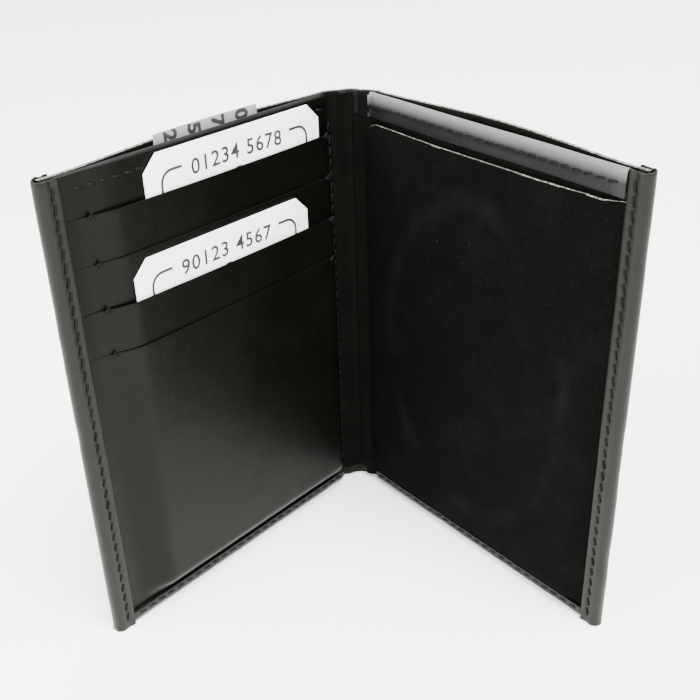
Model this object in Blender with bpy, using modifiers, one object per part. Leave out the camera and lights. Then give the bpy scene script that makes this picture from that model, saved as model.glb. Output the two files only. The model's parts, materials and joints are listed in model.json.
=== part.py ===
"""Upright badge wallet: two leaves on a spine, a third leaf (the flap) folded in, two cards and a bill.

Metres, +Z up. The wallet stands open on its lower edge, the spine at the back (+Y) and the leaves
reaching towards -Y. Each leaf has its own frame on its hinge axis: u runs from the spine to the
outer edge, v from the cover towards the inside, z up.
"""

import math

import bmesh
import bpy
from mathutils import Vector

# Driving dimensions
HEIGHT = 0.116
LEAF_WIDTH = 0.0846
HINGE_SPACING = 0.0120
HALF_OPENING = math.radians(40.0)
SPINE_RISE = 0.0022
SPINE_LINING_SHARE = 0.75

# Leather and paper
GAP = 0.0003
COVER_THICKNESS = 0.0012
LINING_THICKNESS = 0.0004
BINDING_THICKNESS = 0.0007
CARD_THICKNESS = 0.0008
BILL_THICKNESS = 0.0004
THREAD_DIAMETER = 0.0005

# Outer cover, which bows away from the liner to make the bill compartment
COVER_START = 0.0009
COVER_BOW = 0.0031
BOW_START = 0.003
BOW_END = LEAF_WIDTH - 0.0065
BOW_SHAPE = 1.4
BOW_RISE = 1.3

# Edge bindings, folded round the cover and the liner
BINDING_INNER_FACE = 0.00245
BINDING_OUTER_FACE = -0.0015
SIDE_BINDING_WIDTH = 0.0049
BOTTOM_BINDING_HEIGHT = 0.0034
BINDING_CORNER = 0.0008
LAYER_END = LEAF_WIDTH - 0.0014
LAYER_BOTTOM = BINDING_THICKNESS + 0.0004

# Inner layers, from the spine to just short of the side binding
LAYER_START = 0.0010
PANEL_END = LEAF_WIDTH - SIDE_BINDING_WIDTH - 0.0006
PANEL_BOTTOM = BOTTOM_BINDING_HEIGHT + GAP
PANEL_CORNER = 0.0025
LINER_FACE = 0.00145
HEM_DEPTH = 0.0058
HEM_LEG = 0.0014

# Card pockets on the left leaf
MOUTH_TOP = 0.1061
MOUTH_PITCH = 0.01057
POCKET_COUNT = 4
POCKET_START = 0.0035
POCKET_END = LEAF_WIDTH - 0.0072
BARTACK_AT = (0.0062, 0.0734)
BARTACK_SIZE = (0.0034, 0.0006, 0.0019)

# Cards and bill
CARD_WIDTH = 0.054
CARD_HEIGHT = 0.0856
CARD_CORNER = 0.0032
CARD_IN_POCKET = {1: ("card_1", 0.0055, 0.1148), 3: ("card_2", 0.0125, 0.0936)}
BILL_WIDTH = 0.0305
BILL_HEIGHT = 0.066
BILL_START = 0.0235
BILL_TOP = 0.1172
BILL_BACK = 0.0002

# Right leaf and flap
INNER_POCKET_TOP = 0.1098
INNER_POCKET_BACK = 0.0020
INNER_POCKET_THICKNESS = 0.0005
FLAP_BACK = 0.0028
FLAP_FACE_THICKNESS = 0.0009
FLAP_SUEDE_THICKNESS = 0.0007
FLAP_START = 0.0010
FLAP_END = LEAF_WIDTH - 0.0064
FLAP_BOTTOM = 0.0050
FLAP_TOP = 0.1075
FLAP_CORNER = 0.0060
FLAP_HINGE_U = LEAF_WIDTH - 0.0056
FLAP_HINGE_V = 0.00425
RECESS_CENTRE = (0.0395, 0.0545)
RECESS_WIDTH = 0.058
RECESS_HEIGHT = 0.082

# Stitching
STITCH_LENGTH = 0.0031
STITCH_WAVE = 0.00012
STITCH_INSET = 0.0031
HEM_STITCH_Z = HEIGHT - 0.0032

LEFT, RIGHT = 1, -1
ARC_STEPS = 5

BLACK_GRAIN = ("black_grain_leather", (0.020, 0.020, 0.021), 0.38)
BLACK_BINDING = ("black_binding_leather", (0.024, 0.024, 0.025), 0.34)
GREY_LINING = ("grey_lining", (0.115, 0.115, 0.115), 0.62)
BLACK_SUEDE = ("black_suede", (0.030, 0.030, 0.032), 0.93)
BLACK_THREAD = ("black_thread", (0.055, 0.055, 0.055), 0.60)
WHITE_CARD = ("white_card", (0.82, 0.81, 0.79), 0.45)
BILL_PAPER = ("bill_paper", (0.62, 0.62, 0.60), 0.75)


def clear_scene():
    for obj in list(bpy.data.objects):
        bpy.data.objects.remove(obj, do_unlink=True)


def new_collection(name):
    collection = bpy.data.collections.new(name)
    bpy.context.scene.collection.children.link(collection)
    return collection


def principled(node_name, finish):
    """A material of its own for one part, from a (finish name, colour, roughness) triple."""
    finish_name, colour, roughness = finish
    made = bpy.data.materials.new(f"{node_name}_{finish_name}")
    made.use_nodes = True
    shader = made.node_tree.nodes["Principled BSDF"]
    shader.inputs["Base Color"].default_value = (*colour, 1.0)
    shader.inputs["Roughness"].default_value = roughness
    shader.inputs["Metallic"].default_value = 0.0
    made.diffuse_color = (*colour, 1.0)
    return made


class Leaf:
    """One rigid leaf: the empty on its hinge axis, and which way its inside faces."""

    def __init__(self, name, side, collection, turn, location):
        self.side = side
        self.empty = bpy.data.objects.new(f"{name}_hinge", None)
        self.empty.empty_display_size = 0.01
        self.empty.location = location
        self.empty.rotation_euler = (0.0, 0.0, turn)
        self.collection = collection
        collection.objects.link(self.empty)

    def add(self, obj, name, finish):
        """Names the part, hangs it on this leaf and gives it its material."""
        obj.name = name
        obj.data.name = name
        for collection in list(obj.users_collection):
            collection.objects.unlink(obj)
        self.collection.objects.link(obj)
        obj.parent = self.empty
        obj.data.materials.clear()
        obj.data.materials.append(principled(name, finish))
        return obj

    def y(self, v):
        return self.side * v


def add_bevel(obj, width, segments=2):
    bevel = obj.modifiers.new("rounded_edges", "BEVEL")
    bevel.width = width
    bevel.segments = segments
    bevel.limit_method = "ANGLE"
    return obj


def slab(leaf, name, finish, u, v, z, bevel=0.0):
    """A flat panel between two values each of u, v and z."""
    bpy.ops.mesh.primitive_cube_add(size=1.0)
    obj = bpy.context.object
    size = Vector((u[1] - u[0], v[1] - v[0], z[1] - z[0]))
    for vertex in obj.data.vertices:
        vertex.co = Vector(a * b for a, b in zip(vertex.co, size))
    obj.location = ((u[0] + u[1]) / 2, leaf.y((v[0] + v[1]) / 2), (z[0] + z[1]) / 2)
    if bevel:
        add_bevel(obj, bevel)
    return leaf.add(obj, name, finish)


def arc(centre, radius, start, end, steps=ARC_STEPS):
    """Points along an arc, with the angles in degrees."""
    points = []
    for step in range(steps + 1):
        angle = math.radians(start + (end - start) * step / steps)
        points.append((centre[0] + radius * math.cos(angle), centre[1] + radius * math.sin(angle)))
    return points


def rounded_outline(low, high, radii):
    """A rectangle's outline with a radius at each corner: low left, low right, high right, high left."""
    corners = (
        (low[0], low[1], 1, 1, 180),
        (high[0], low[1], -1, 1, 270),
        (high[0], high[1], -1, -1, 0),
        (low[0], high[1], 1, -1, 90),
    )
    points = []
    for (x, y, inward_x, inward_y, start), radius in zip(corners, radii):
        centre = (x + inward_x * radius, y + inward_y * radius)
        points += arc(centre, radius, start, start + 90)
    return points


def flat_part(leaf, name, finish, outlines, back, thickness):
    """A sheet of even thickness cut to a (u, z) outline, with any further outline as a hole."""
    curve = bpy.data.curves.new(name, "CURVE")
    curve.dimensions = "2D"
    curve.fill_mode = "BOTH"
    curve.extrude = thickness / 2
    for outline in outlines:
        spline = curve.splines.new("POLY")
        spline.points.add(len(outline) - 1)
        for point, (u, z) in zip(spline.points, outline):
            point.co = (u, z, 0.0, 1.0)
        spline.use_cyclic_u = True
    obj = bpy.data.objects.new(name, curve)
    obj.rotation_euler = (math.pi / 2, 0.0, 0.0)
    obj.location = (0.0, leaf.y(back + thickness / 2), 0.0)
    return leaf.add(obj, name, finish)


def folded_strip(leaf, name, finish, path, along, thickness):
    """A strip of leather folded to an open path and drawn out along a vector."""
    shape = bmesh.new()
    vertices = [shape.verts.new(point) for point in path]
    edges = [shape.edges.new(pair) for pair in zip(vertices, vertices[1:])]
    made = bmesh.ops.extrude_edge_only(shape, edges=edges)["geom"]
    moved = [item for item in made if isinstance(item, bmesh.types.BMVert)]
    bmesh.ops.translate(shape, verts=moved, vec=along)
    bmesh.ops.recalc_face_normals(shape, faces=shape.faces)
    mesh = bpy.data.meshes.new(name)
    shape.to_mesh(mesh)
    shape.free()
    obj = bpy.data.objects.new(name, mesh)
    wall = obj.modifiers.new("wall", "SOLIDIFY")
    wall.thickness = thickness
    wall.offset = 0.0
    wall.use_even_offset = True
    return leaf.add(obj, name, finish)


def side_binding(leaf, name):
    """The rolled binding down the outer edge: a C round the cover and the liner."""
    half = BINDING_THICKNESS / 2
    inner = BINDING_INNER_FACE - half
    outer = BINDING_OUTER_FACE + half
    radius = (inner - outer) / 2
    start = LEAF_WIDTH - SIDE_BINDING_WIDTH
    centre = (LEAF_WIDTH - half - radius, (inner + outer) / 2)
    section = [(start, inner)] + arc(centre, radius, 90, -90, 2 * ARC_STEPS) + [(start, outer)]
    path = [(u, leaf.y(v), 0.0) for u, v in section]
    return folded_strip(leaf, name, BLACK_BINDING, path, (0, 0, HEIGHT), BINDING_THICKNESS)


def bottom_binding(leaf, name):
    """The binding along the bottom, with the flat underside that the wallet stands on."""
    half = BINDING_THICKNESS / 2
    inner = BINDING_INNER_FACE - half
    outer = BINDING_OUTER_FACE + half
    low = half
    corner = BINDING_CORNER
    section = [(inner, BOTTOM_BINDING_HEIGHT)]
    section += arc((inner - corner, low + corner), corner, 0, -90)
    section += arc((outer + corner, low + corner), corner, -90, -180)
    section += [(outer, BOTTOM_BINDING_HEIGHT)]
    path = [(LAYER_START, leaf.y(v), z) for v, z in section]
    length = LEAF_WIDTH - SIDE_BINDING_WIDTH - GAP - LAYER_START
    return folded_strip(leaf, name, BLACK_BINDING, path, (length, 0, 0), BINDING_THICKNESS)


def bow(u, z):
    """How far the cover stands out from the liner: most at the middle of its top edge."""
    across = (u - BOW_START) / (BOW_END - BOW_START)
    if not 0.0 < across < 1.0:
        return 0.0
    return COVER_BOW * math.sin(math.pi * across) ** BOW_SHAPE * (z / HEIGHT) ** BOW_RISE


def cover(leaf, name):
    """The outer leather of one leaf, bowed outwards towards its top edge."""
    bpy.ops.mesh.primitive_grid_add(x_subdivisions=22, y_subdivisions=8, size=1.0)
    obj = bpy.context.object
    for vertex in obj.data.vertices:
        u = COVER_START + (vertex.co.x + 0.5) * (LAYER_END - COVER_START)
        z = LAYER_BOTTOM + (vertex.co.y + 0.5) * (HEIGHT - LAYER_BOTTOM)
        vertex.co = (u, leaf.y(-bow(u, z)), z)
    wall = obj.modifiers.new("leather", "SOLIDIFY")
    wall.thickness = COVER_THICKNESS
    wall.offset = 0.0
    return leaf.add(obj, name, BLACK_GRAIN)


def hemmed_liner(leaf, name):
    """The right bill liner, whose top edge is rolled forwards into a thick hem."""
    back = LINER_FACE - LINING_THICKNESS / 2
    radius = HEM_LEG / 2
    crown = (back + radius, HEIGHT - radius - LINING_THICKNESS / 2)
    section = [(back, LAYER_BOTTOM)] + arc(crown, radius, 180, 0) + [(back + HEM_LEG, HEIGHT - HEM_DEPTH)]
    path = [(LAYER_START, leaf.y(v), z) for v, z in section]
    length = PANEL_END - LAYER_START
    return folded_strip(leaf, name, GREY_LINING, path, (length, 0, 0), LINING_THICKNESS)


def stitch_row(leaf, name, start, end):
    """One thread along a row, rising and falling a little with each stitch."""
    start, end = Vector(start), Vector(end)
    count = 2 * round((end - start).length / STITCH_LENGTH)
    curve = bpy.data.curves.new(name, "CURVE")
    curve.dimensions = "3D"
    curve.bevel_depth = THREAD_DIAMETER / 2
    curve.bevel_resolution = 1
    curve.use_fill_caps = True
    spline = curve.splines.new("POLY")
    spline.points.add(count)
    for step, point in enumerate(spline.points):
        place = start.lerp(end, step / count)
        lift = STITCH_WAVE * (1 if step % 2 else -1)
        point.co = (place.x, leaf.y(place.y + lift), place.z, 1.0)
    return leaf.add(bpy.data.objects.new(name, curve), name, BLACK_THREAD)


def edge_stitching(leaf, prefix):
    """The rows sewn through the side and the bottom bindings."""
    face = BINDING_INNER_FACE + GAP + THREAD_DIAMETER / 2 + STITCH_WAVE
    u = LEAF_WIDTH - STITCH_INSET
    stitch_row(leaf, f"{prefix}_edge_stitching", (u, face, 0.003), (u, face, HEIGHT - 0.003))
    z = BOTTOM_BINDING_HEIGHT - 0.0011
    stitch_row(leaf, f"{prefix}_bottom_stitching", (LAYER_START + 0.001, face, z), (PANEL_END, face, z))


def bartack(leaf, name, u, face, z):
    """The knot of thread that stops one end of a pocket mouth from tearing."""
    bpy.ops.mesh.primitive_uv_sphere_add(segments=12, ring_count=6, radius=0.5)
    obj = bpy.context.object
    for vertex in obj.data.vertices:
        vertex.co = Vector(a * b for a, b in zip(vertex.co, BARTACK_SIZE))
    obj.data.shade_smooth()
    obj.location = (u, leaf.y(face + GAP + BARTACK_SIZE[1] / 2), z)
    return leaf.add(obj, name, BLACK_THREAD)


def card(leaf, name, start, top, back):
    low = (start, top - CARD_HEIGHT)
    high = (start + CARD_WIDTH, top)
    outline = rounded_outline(low, high, (CARD_CORNER,) * 4)
    return flat_part(leaf, name, WHITE_CARD, [outline], back, CARD_THICKNESS)


def card_pockets(leaf):
    """The backing, the four staggered pockets with a card behind two of them, and their bartacks."""
    back = LINER_FACE + GAP
    low = (LAYER_START, PANEL_BOTTOM)
    high = (PANEL_END, HEIGHT - 0.0006)
    outline = rounded_outline(low, high, (BINDING_CORNER, BINDING_CORNER, BINDING_CORNER, PANEL_CORNER))
    flat_part(leaf, "card_backing", BLACK_GRAIN, [outline], back, LINING_THICKNESS)
    back += LINING_THICKNESS + GAP
    for number in range(1, POCKET_COUNT + 1):
        if number in CARD_IN_POCKET:
            card(leaf, *CARD_IN_POCKET[number], back)
            back += CARD_THICKNESS + GAP
        mouth = MOUTH_TOP - (number - 1) * MOUTH_PITCH
        face = back + LINING_THICKNESS
        reach = (POCKET_START, POCKET_END)
        slab(leaf, f"card_pocket_{number}", BLACK_GRAIN, reach, (back, face), (PANEL_BOTTOM, mouth), 0.0001)
        for end, u in zip(("inner", "outer"), BARTACK_AT):
            bartack(leaf, f"bartack_{end}_{number}", u, face, mouth - BARTACK_SIZE[2] / 2)
        back = face + GAP


def shield_outline(centre, width, height):
    """A badge's shield: an arched top, upright sides and two arcs that meet in a point below."""
    half = width / 2
    shoulder = centre[1] + height * 0.36
    waist = centre[1] - height * 0.08
    tip = centre[1] - height / 2
    rise = centre[1] + height / 2 - shoulder
    points = []
    for step in range(2 * ARC_STEPS + 1):
        angle = math.pi * step / (2 * ARC_STEPS)
        points.append((centre[0] + half * math.cos(angle), shoulder + rise * math.sin(angle)))
    for step in range(2 * ARC_STEPS + 1):
        angle = math.pi * step / (2 * ARC_STEPS)
        points.append((centre[0] - half * math.cos(angle), waist - (waist - tip) * math.sin(angle)))
    return points


def flap(leaf):
    """The third leaf: suede on the side that shows, and a leather face with a badge recess behind it."""
    low = (FLAP_START, FLAP_BOTTOM)
    high = (FLAP_END, FLAP_TOP)
    outline = rounded_outline(low, high, (FLAP_CORNER, BINDING_CORNER, BINDING_CORNER, FLAP_CORNER))
    outline = [(u - FLAP_HINGE_U, z) for u, z in outline]
    centre = (RECESS_CENTRE[0] - FLAP_HINGE_U, RECESS_CENTRE[1])
    recess = shield_outline(centre, RECESS_WIDTH, RECESS_HEIGHT)
    back = FLAP_BACK - FLAP_HINGE_V
    flat_part(leaf, "flap_face", BLACK_GRAIN, [outline, recess], back, FLAP_FACE_THICKNESS)
    back += FLAP_FACE_THICKNESS + GAP
    flat_part(leaf, "flap_suede", BLACK_SUEDE, [outline], back, FLAP_SUEDE_THICKNESS)


def left_leaf(collection):
    turn = math.radians(270.0) - HALF_OPENING
    leaf = Leaf("left_leaf", LEFT, collection, turn, (-HINGE_SPACING / 2, 0.0, 0.0))
    cover(leaf, "left_cover")
    reach = (LAYER_START, LAYER_END)
    liner = (LINER_FACE - LINING_THICKNESS, LINER_FACE)
    slab(leaf, "left_bill_liner", GREY_LINING, reach, liner, (LAYER_BOTTOM, HEIGHT), 0.0001)
    side_binding(leaf, "left_edge_binding")
    bottom_binding(leaf, "left_bottom_binding")
    edge_stitching(leaf, "left")
    card_pockets(leaf)
    bill_reach = (BILL_START, BILL_START + BILL_WIDTH)
    bill_depth = (BILL_BACK, BILL_BACK + BILL_THICKNESS)
    slab(leaf, "play_bill", BILL_PAPER, bill_reach, bill_depth, (BILL_TOP - BILL_HEIGHT, BILL_TOP))


def right_leaf(collection):
    turn = math.radians(270.0) + HALF_OPENING
    leaf = Leaf("right_leaf", RIGHT, collection, turn, (HINGE_SPACING / 2, 0.0, 0.0))
    cover(leaf, "right_cover")
    hemmed_liner(leaf, "right_bill_liner")
    side_binding(leaf, "right_edge_binding")
    bottom_binding(leaf, "right_bottom_binding")
    edge_stitching(leaf, "right")
    hem_face = LINER_FACE + HEM_LEG + GAP + THREAD_DIAMETER / 2 + STITCH_WAVE
    ends = (LAYER_START + 0.001, PANEL_END - 0.001)
    stitch_row(leaf, "right_hem_stitching", *((u, hem_face, HEM_STITCH_Z) for u in ends))
    depth = (INNER_POCKET_BACK, INNER_POCKET_BACK + INNER_POCKET_THICKNESS)
    height = (PANEL_BOTTOM, INNER_POCKET_TOP)
    slab(leaf, "right_inner_pocket", BLACK_GRAIN, (LAYER_START, PANEL_END), depth, height, 0.0001)

    hinge = Vector((FLAP_HINGE_U, leaf.y(FLAP_HINGE_V), 0.0))
    hinge.rotate(leaf.empty.rotation_euler)
    flap(Leaf("flap", RIGHT, collection, turn, leaf.empty.location + hinge))


def spine(collection):
    """The strip between the leaves, arched a little backwards, and the lining inside it."""
    frame = Leaf("spine", RIGHT, collection, 0.0, (0.0, 0.0, 0.0))
    half = HINGE_SPACING / 2 - COVER_START
    radius = (half**2 + SPINE_RISE**2) / (2 * SPINE_RISE)
    reach = math.degrees(math.asin(half / radius))
    centre = (0.0, SPINE_RISE - radius)
    section = arc(centre, radius, 90 + reach, 90 - reach, 2 * ARC_STEPS)
    path = [(x, y, 0.0) for x, y in section]
    folded_strip(frame, "spine_cover", BLACK_GRAIN, path, (0, 0, HEIGHT), COVER_THICKNESS)
    radius -= (COVER_THICKNESS + LINING_THICKNESS) / 2 + GAP
    reach *= SPINE_LINING_SHARE
    section = arc(centre, radius, 90 + reach, 90 - reach, 2 * ARC_STEPS)
    path = [(x, y, GAP) for x, y in section]
    folded_strip(frame, "spine_lining", GREY_LINING, path, (0, 0, HEIGHT - 2 * GAP), LINING_THICKNESS)


def centre_on_origin(collection):
    """Moves the whole wallet so that the middle of its footprint is at the origin."""
    bpy.context.view_layer.update()
    graph = bpy.context.evaluated_depsgraph_get()
    places = []
    for obj in collection.objects:
        if obj.type != "EMPTY":
            evaluated = obj.evaluated_get(graph)
            mesh = evaluated.to_mesh()
            places += [evaluated.matrix_world @ vertex.co for vertex in mesh.vertices]
            evaluated.to_mesh_clear()
    middle = [(min(p[axis] for p in places) + max(p[axis] for p in places)) / 2 for axis in (0, 1)]
    for obj in collection.objects:
        if obj.type == "EMPTY":
            obj.location -= Vector((*middle, 0.0))


def main():
    clear_scene()
    wallet = new_collection("upright_badge_wallet")
    spine(wallet)
    left_leaf(wallet)
    right_leaf(wallet)
    centre_on_origin(wallet)


main()
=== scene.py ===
"""An upright trifold wallet of black leather, open like a book and standing on its lower edges."""

import json
import math

import bpy
from bpy.props import FloatProperty, FloatVectorProperty, PointerProperty
from mathutils import Matrix, Vector, noise


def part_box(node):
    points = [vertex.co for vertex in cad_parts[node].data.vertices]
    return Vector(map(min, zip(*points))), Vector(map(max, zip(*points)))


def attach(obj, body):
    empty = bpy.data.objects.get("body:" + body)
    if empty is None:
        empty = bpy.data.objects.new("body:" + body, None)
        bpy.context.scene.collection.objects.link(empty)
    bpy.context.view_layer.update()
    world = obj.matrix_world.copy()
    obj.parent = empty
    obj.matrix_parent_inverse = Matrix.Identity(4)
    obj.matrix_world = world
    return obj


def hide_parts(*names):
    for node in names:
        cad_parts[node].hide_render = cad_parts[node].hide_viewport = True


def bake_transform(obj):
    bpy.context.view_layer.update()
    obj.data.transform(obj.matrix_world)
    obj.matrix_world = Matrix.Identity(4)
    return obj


bl_info = {
    "name": "Trifold Wallet",
    "version": (1, 0, 0),
    "blender": (4, 5, 0),
    "location": "View3D > Sidebar > Wallet",
    "description": "Makes the leather, suede, thread, cards and stage of an upright wallet",
    "category": "Add Mesh",
}

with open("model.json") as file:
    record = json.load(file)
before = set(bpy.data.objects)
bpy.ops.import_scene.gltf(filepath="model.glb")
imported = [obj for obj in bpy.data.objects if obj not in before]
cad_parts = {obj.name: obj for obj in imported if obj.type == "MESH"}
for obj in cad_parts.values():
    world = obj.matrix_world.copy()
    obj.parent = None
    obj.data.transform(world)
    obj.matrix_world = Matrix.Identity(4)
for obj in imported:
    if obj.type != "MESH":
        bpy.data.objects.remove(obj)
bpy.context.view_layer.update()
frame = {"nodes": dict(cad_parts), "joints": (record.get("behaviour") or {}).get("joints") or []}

MM = 0.001
UV_SCALE = 10.0
JOINTS = {joint["name"]: joint for joint in frame["joints"]}
HALF_OPENING = math.radians(90.0 + JOINTS["left_leaf_fold"]["range_deg"][0])
HALF_SPINE = JOINTS["right_leaf_fold"]["pos_m"][0]
FOLD_TURN = math.radians(90.0) - HALF_OPENING


# ---------------------------------------------------------------- places


def leaf_place(side):
    """Where a leaf's bench stands: x from the fold to the outer edge, y up, z from the cover inwards."""
    sign = {"left": -1.0, "right": 1.0}[side]
    hinge = JOINTS[side + "_leaf_fold"]["pos_m"]
    out = (sign * math.sin(HALF_OPENING), -math.cos(HALF_OPENING))
    inward = (-sign * math.cos(HALF_OPENING), -math.sin(HALF_OPENING))
    return Matrix((
        (out[0], 0.0, inward[0], hinge[0]),
        (out[1], 0.0, inward[1], hinge[1]),
        (0.0, 1.0, 0.0, 0.0),
        (0.0, 0.0, 0.0, 1.0),
    ))


def spine_place():
    """Where the spine's bench stands: x across the spine, y up, z inwards."""
    depth = JOINTS["left_leaf_fold"]["pos_m"][1]
    return Matrix(((1, 0, 0, 0), (0, 0, -1, depth), (0, 1, 0, 0), (0, 0, 0, 1)))


PLACES = {"left": leaf_place("left"), "right": leaf_place("right"), "spine": spine_place()}


def reach(node, side):
    """Lowest and highest corner of a CAD node on its leaf's bench."""
    back = PLACES[side].inverted()
    spots = [back @ vertex.co for vertex in frame["nodes"][node].data.vertices]
    low = Vector([min(spot[axis] for spot in spots) for axis in range(3)])
    high = Vector([max(spot[axis] for spot in spots) for axis in range(3)])
    return low, high


LEAF_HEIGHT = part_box("left_edge_binding")[1].z
LEAF_WIDTH = reach("left_edge_binding", "left")[1].x
EDGE_ROW = LEAF_WIDTH - 3.1 * MM
FOOT_ROW = 2.3 * MM
TOP_ROW = LEAF_HEIGHT - 3.6 * MM
LINING_HALF = 2.9 * MM
PRINT = 0.06 * MM
MARK_HALF = (30.0 * MM, 43.0 * MM)
FOOT_SEAM = (2.8 * MM, 8.0 * MM)


def ramp(value, start, end):
    """0 at start, 1 at end, smooth between them."""
    share = min(max((value - start) / (end - start), 0.0), 1.0)
    return share * share * (3.0 - 2.0 * share)


def dip(value, centre, width):
    """1 at the centre, fading to 0 about two widths away."""
    return math.exp(-(((value - centre) / width) ** 2))


# ---------------------------------------------------------------- sizes and colours


def length(name, description, default):
    """A length that the sidebar shows in the scene's unit."""
    return FloatProperty(
        name=name, description=description, default=default, min=0.0, subtype="DISTANCE", unit="LENGTH"
    )


def colour(name, description, default):
    """A colour that the sidebar shows as a swatch."""
    return FloatVectorProperty(
        name=name, description=description, default=default, size=3, min=0.0, max=1.0, subtype="COLOR"
    )


def angle(name, description, degrees):
    """An angle that the sidebar shows in the scene's unit."""
    return FloatProperty(
        name=name, description=description, default=math.radians(degrees), subtype="ANGLE", unit="ROTATION"
    )


def power(name, description, default):
    """A light's power."""
    return FloatProperty(name=name, description=description, default=default, min=0.0, unit="POWER")


def shade(tone, factor):
    """A colour made darker or lighter."""
    return [channel * factor for channel in tone]


class WalletSizes(bpy.types.PropertyGroup):
    """Lengths of the soft parts that the hard model leaves free."""

    fold_radius: length("Fold radius", "Radius of the cover's bend beside the spine", 5.0 * MM)
    spine_rise: length("Spine rise", "How far the spine swells outwards", 1.5 * MM)
    cover_bow: length("Cover bow", "How far the covers stand off at the top", 3.1 * MM)
    leather: length("Cover thickness", "Thickness of the outer leather", 1.1 * MM)
    binding: length("Binding thickness", "Thickness of the rolled edge strips", 0.45 * MM)
    wave: length("Leather wave", "Depth of the soft waves in the card leaf", 0.15 * MM)
    grid: length("Grid", "Spacing of the cuts in a leather sheet", 3.0 * MM)
    stitch: length("Stitch", "Spacing of the stitches", 3.1 * MM)
    thread: length("Thread", "Thickness of the sewing thread", 0.55 * MM)
    card_thickness: length("Card thickness", "Thickness of the card stock", 0.42 * MM)
    card_cut: length("Card corner", "Size of the cut corners of a card", 3.8 * MM)
    flap_corner: length("Flap corner", "Radius of the flap's free corners", 5.0 * MM)


class WalletColours(bpy.types.PropertyGroup):
    """Colours of the leather, suede, lining, thread and paper."""

    leather: colour("Leather", "Smooth black leather", (0.0009, 0.0010, 0.0007))
    binding: colour("Binding", "Rolled edge leather", (0.0016, 0.0018, 0.0014))
    suede: colour("Suede", "Matte suede of the flap", (0.0008, 0.0008, 0.0007))
    rub: colour("Rubbed suede", "Suede where it is rubbed", (0.0034, 0.0034, 0.0029))
    raw_edge: colour("Raw edge", "Cut edge of the leather", (0.16, 0.157, 0.14))
    lining: colour("Lining", "Woven grey lining", (0.022, 0.0225, 0.022))
    thread: colour("Thread", "Sewing thread", (0.0008, 0.0008, 0.0008))
    card: colour("Card", "White card stock", (0.80, 0.81, 0.83))
    ink: colour("Ink", "Print on the cards", (0.012, 0.012, 0.013))
    bill: colour("Bill", "Paper of the play bill", (0.17, 0.175, 0.18))
    floor: colour("Floor", "Pale floor", (0.93, 0.93, 0.92))


class WalletStage(bpy.types.PropertyGroup):
    """Camera and light of the stage."""

    lens: FloatProperty(name="Lens", description="Focal length", default=53.09, subtype="DISTANCE_CAMERA")
    camera: FloatVectorProperty(
        name="Camera", description="Camera's place", default=(0.00722, -0.22422, 0.1817), subtype="XYZ_LENGTH"
    )
    yaw: angle("Yaw", "Turn to the right", -0.6)
    pitch: angle("Pitch", "Tilt down", 29.88)
    roll: angle("Roll", "Roll to the right", -1.1)
    shift_x: FloatProperty(name="Shift X", description="Framing to the side", default=-0.0337)
    shift_y: FloatProperty(name="Shift Y", description="Framing upwards", default=0.0357)
    sky: FloatProperty(name="Room light", description="Strength of the pale room", default=2.7, min=0.0)
    key: power("Key light", "Power of the large light", 160.0)
    fill: power("Fill light", "Power of the side light", 12.0)


# ---------------------------------------------------------------- finishes


class Strand:
    """A shader socket. Arithmetic on it adds Math nodes."""

    def __init__(self, finish, socket):
        self.finish = finish
        self.socket = socket

    def math(self, operation, first, second=0.0):
        return self.finish.node("ShaderNodeMath", {"operation": operation}, {0: first, 1: second})

    def __add__(self, other):
        return self.math("ADD", self, other)

    def __sub__(self, other):
        return self.math("SUBTRACT", self, other)

    def __rsub__(self, other):
        return self.math("SUBTRACT", other, self)

    def __mul__(self, other):
        return self.math("MULTIPLY", self, other)

    def __truediv__(self, other):
        return self.math("DIVIDE", self, other)

    def __pow__(self, other):
        return self.math("POWER", self, other)

    __radd__ = __add__
    __rmul__ = __mul__

    def size(self):
        return self.math("ABSOLUTE", self)

    def between(self, low, high):
        """0 at low, 1 at high, smooth between."""
        return self.finish.node(
            "ShaderNodeMapRange",
            {"interpolation_type": "SMOOTHSTEP"},
            {"Value": self, "From Min": low, "From Max": high},
        )


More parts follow.
